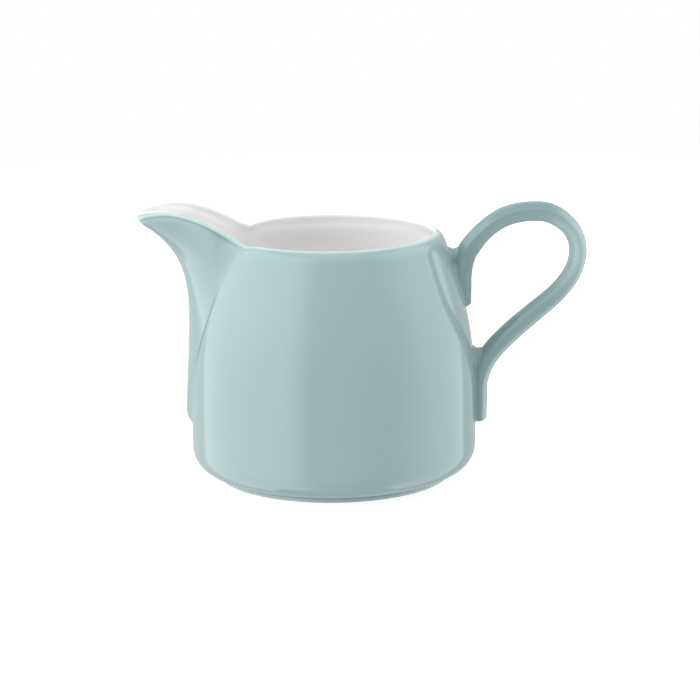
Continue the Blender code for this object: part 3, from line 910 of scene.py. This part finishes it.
def makeWrap():
    # a tall screen round the jug, lit at the left and right and dark behind the camera
    bm = bmesh.new()
    bmesh.ops.create_circle(bm, radius=studio["wrapRadius"], segments=144)
    levels = studio["wrapLevels"]
    bmesh.ops.translate(bm, vec=(axisX, 0, levels[0]), verts=bm.verts)
    edges = bm.edges[:]
    for low, high in zip(levels, levels[1:]):
        raised = bmesh.ops.extrude_edge_only(bm, edges=edges)["geom"]
        upper = [v for v in raised if isinstance(v, bmesh.types.BMVert)]
        bmesh.ops.translate(bm, vec=(0, 0, high - low), verts=upper)
        edges = [e for e in raised if isinstance(e, bmesh.types.BMEdge) and set(e.verts) <= set(upper)]
    shadeLayer = bm.verts.layers.float.new("shade")
    left, right = studio["left"], studio["right"]
    for vert in bm.verts:
        # bearings run from the camera's side: left is negative, right positive
        bearing = math.degrees(math.atan2(vert.co.x - axisX, -vert.co.y))
        glow = left["strength"] * (1 - smooth(left["full"], left["dark"], bearing))
        glow += right["strength"] * smooth(right["dark"], right["full"], bearing)
        behind = studio["back"] - studio["backTilt"] * math.sin(math.radians(bearing))
        glow = mix(studio["front"] + glow, behind, smooth(*studio["backFrom"], abs(bearing)))
        vert[shadeLayer] = glow * mix(studio["wrapFade"], 1, smooth(levels[1], levels[2], vert.co.z))
    mesh = bpy.data.meshes.new("wrap light")
    bm.to_mesh(mesh)
    bm.free()
    wrap = bpy.data.objects.new("wrap light", mesh)
    bpy.context.scene.collection.objects.link(wrap)
    made = bpy.data.materials.new("wrap light")
    made.use_nodes = True
    tree = made.node_tree
    tree.nodes.clear()
    shade = addNode(tree, "ShaderNodeAttribute", attribute_name="shade")
    glow = addNode(tree, "ShaderNodeEmission")
    out = addNode(tree, "ShaderNodeOutputMaterial")
    tree.links.new(shade.outputs["Fac"], glow.inputs["Strength"])
    tree.links.new(glow.outputs[0], out.inputs["Surface"])
    mesh.materials.append(made)
    wrap.visible_camera = False


makeWrap()


def makeTopLight():
    data = bpy.data.lights.new("top light", "AREA")
    data.shape = "SQUARE"
    data.size = studio["top"]["size"]
    data.energy = studio["top"]["watts"]
    lamp = bpy.data.objects.new("top light", data)
    lamp.location = (axisX, -studio["top"]["forward"], studio["top"]["height"])
    lamp.visible_camera = False
    lamp.visible_glossy = False
    bpy.context.scene.collection.objects.link(lamp)


makeTopLight()


def makeLowLight():
    # a low strip beside the camera that reaches over the near rim to the top of the far inside
    plan = studio["low"]
    data = bpy.data.lights.new("low light", "AREA")
    data.shape = "RECTANGLE"
    data.size = plan["width"]
    data.size_y = plan["tall"]
    data.energy = plan["watts"]
    lamp = bpy.data.objects.new("low light", data)
    lamp.location = (axisX, -plan["distance"], plan["height"])
    lamp.rotation_euler = (math.pi / 2, 0, 0)
    lamp.visible_camera = False
    lamp.visible_glossy = False
    bpy.context.scene.collection.objects.link(lamp)


makeLowLight()


def makeWorld():
    world = bpy.data.worlds.new("studio")
    bpy.context.scene.world = world
    world.use_nodes = True
    tree = world.node_tree
    ground = tree.nodes["Background"]
    ray = addNode(tree, "ShaderNodeLightPath")
    level = addNode(tree, "ShaderNodeMapRange")
    level.inputs["To Min"].default_value = studio["world"]
    level.inputs["To Max"].default_value = studio["backdrop"]
    tree.links.new(ray.outputs["Is Camera Ray"], level.inputs["Value"])
    tree.links.new(level.outputs["Result"], ground.inputs["Strength"])
    ground.inputs["Color"].default_value = (1, 1, 1, 1)


makeWorld()

view = {
    "distance": 0.800,
    "elevation": 13.15,
    "roll": -0.60,
    "lens": 137.8,
    "aim": (0.00504, 0, 0.03742),  # from the body's axis
}


def makeCamera():
    data = bpy.data.cameras.new("camera")
    data.lens = view["lens"]
    data.sensor_width = 36
    data.clip_start = 0.05
    data.clip_end = 30
    camera = bpy.data.objects.new("camera", data)
    bpy.context.scene.collection.objects.link(camera)
    bpy.context.scene.camera = camera
    tilt = math.radians(view["elevation"])
    aim = Vector((axisX, 0, 0)) + Vector(view["aim"])
    back = Vector((0, -math.cos(tilt), math.sin(tilt)))
    roll = Matrix.Rotation(math.radians(view["roll"]), 4, "Z")
    turned = Matrix.Rotation(math.pi / 2 - tilt, 4, "X") @ roll
    camera.matrix_world = Matrix.Translation(aim + back * view["distance"]) @ turned


makeCamera()
print("studio and camera made")
bpy.context.scene.view_settings.view_transform = "Standard"
